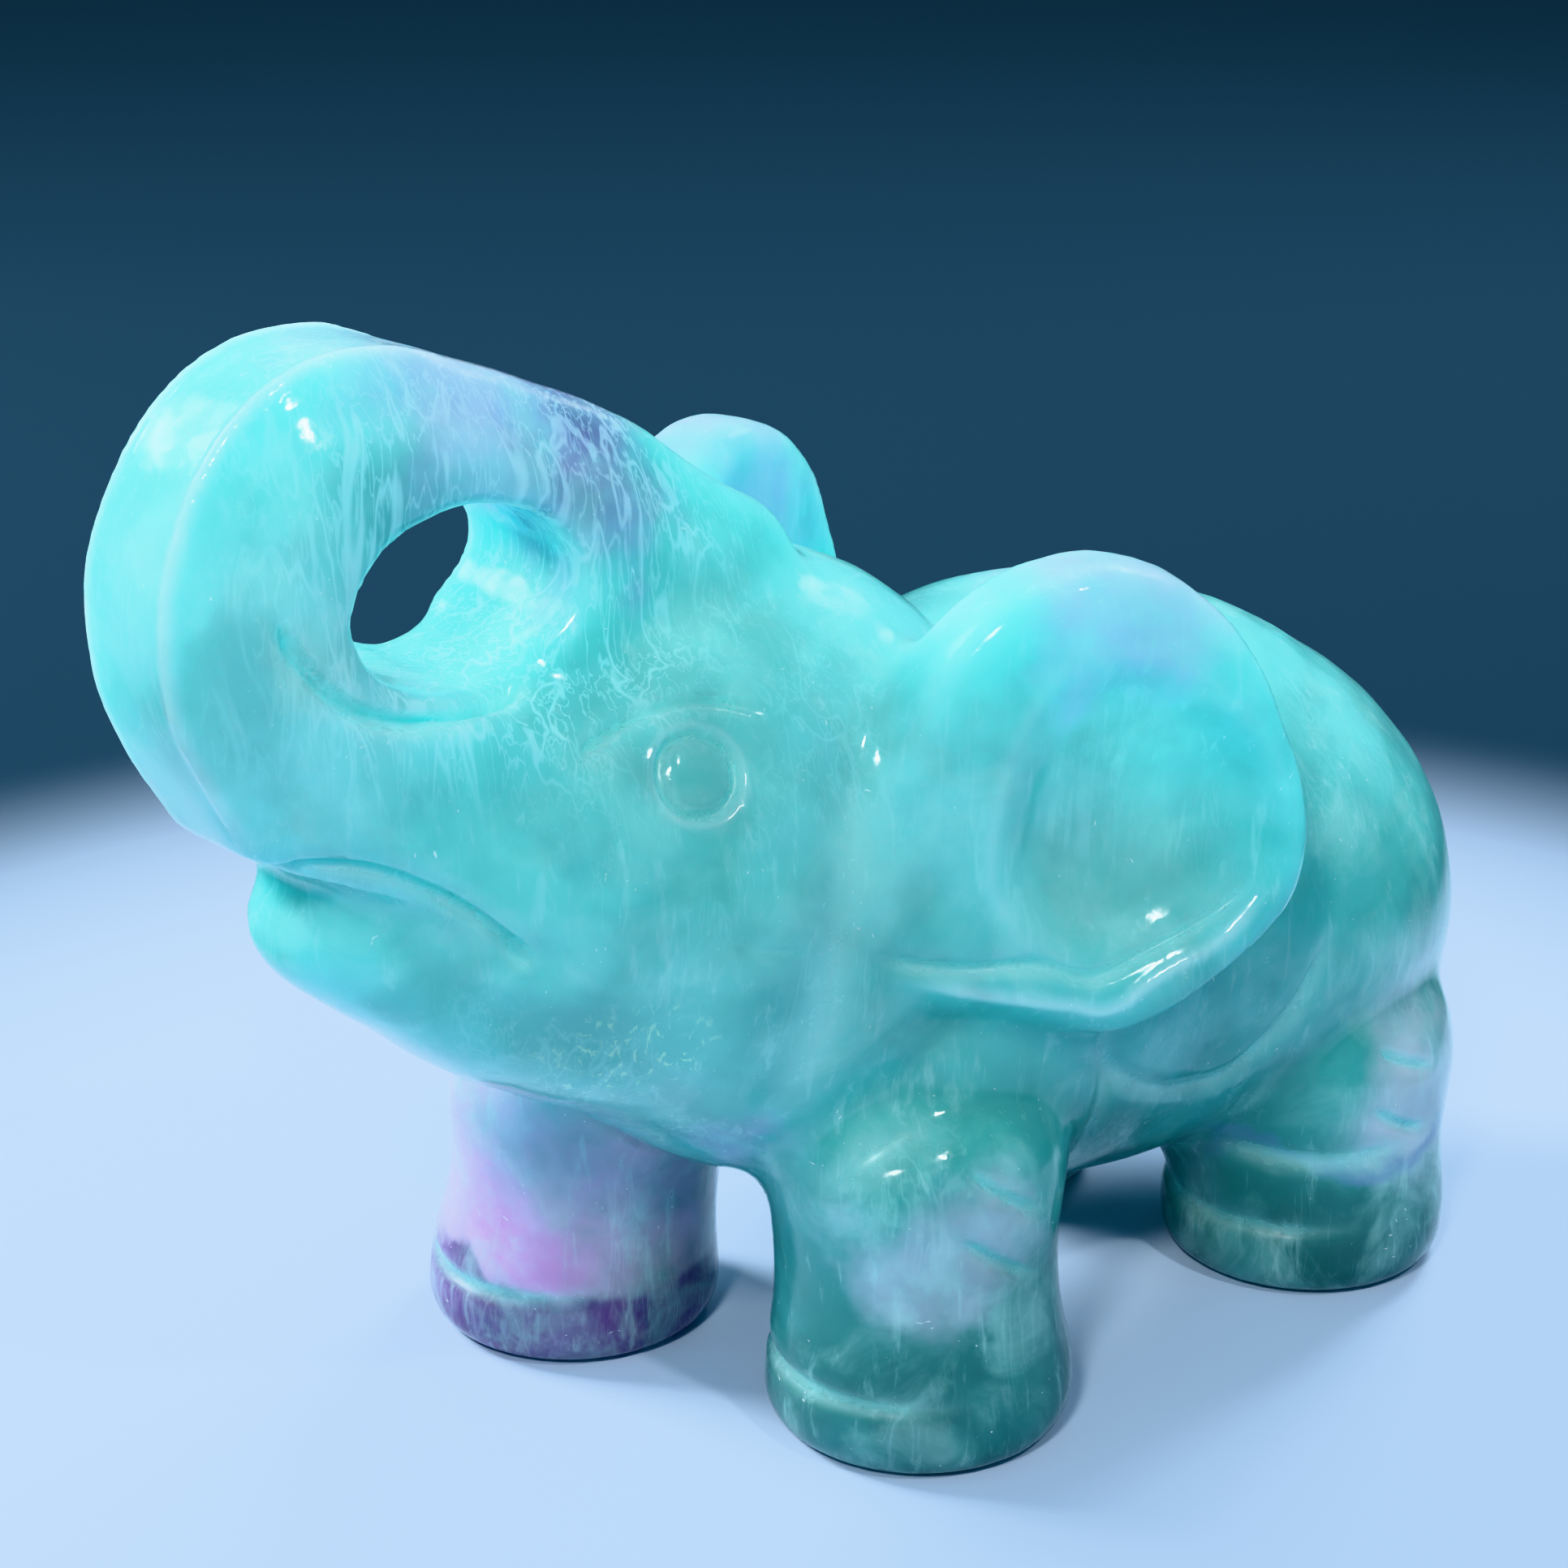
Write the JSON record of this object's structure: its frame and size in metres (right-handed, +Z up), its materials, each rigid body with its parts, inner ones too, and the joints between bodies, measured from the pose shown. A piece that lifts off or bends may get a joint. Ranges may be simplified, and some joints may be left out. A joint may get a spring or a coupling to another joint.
{
  "type": "carved stone figurine",
  "caption": "Small carved fluorite elephant, standing, with its trunk curled back over the forehead, used as a free-standing ornament.",
  "frame": {"origin": "centre of the bounding box at the level of the soles", "axes": "+X forwards towards the trunk, +Y the elephant's left side, +Z up"},
  "size_m": [0.074, 0.0356, 0.0519],
  "materials": {
    "fluorite": "polished banded fluorite, cloudy translucent, aqua green with lavender and purple zones"
  },
  "bodies": {
    "root": {"torso": "fluorite", "head": "fluorite", "lower_jaw": "fluorite", "trunk": "fluorite", "left_ear": "fluorite", "right_ear": "fluorite", "front_left_leg": "fluorite", "front_right_leg": "fluorite", "rear_left_leg": "fluorite", "rear_right_leg": "fluorite", "tail": "fluorite"}
  },
  "joints": []
}
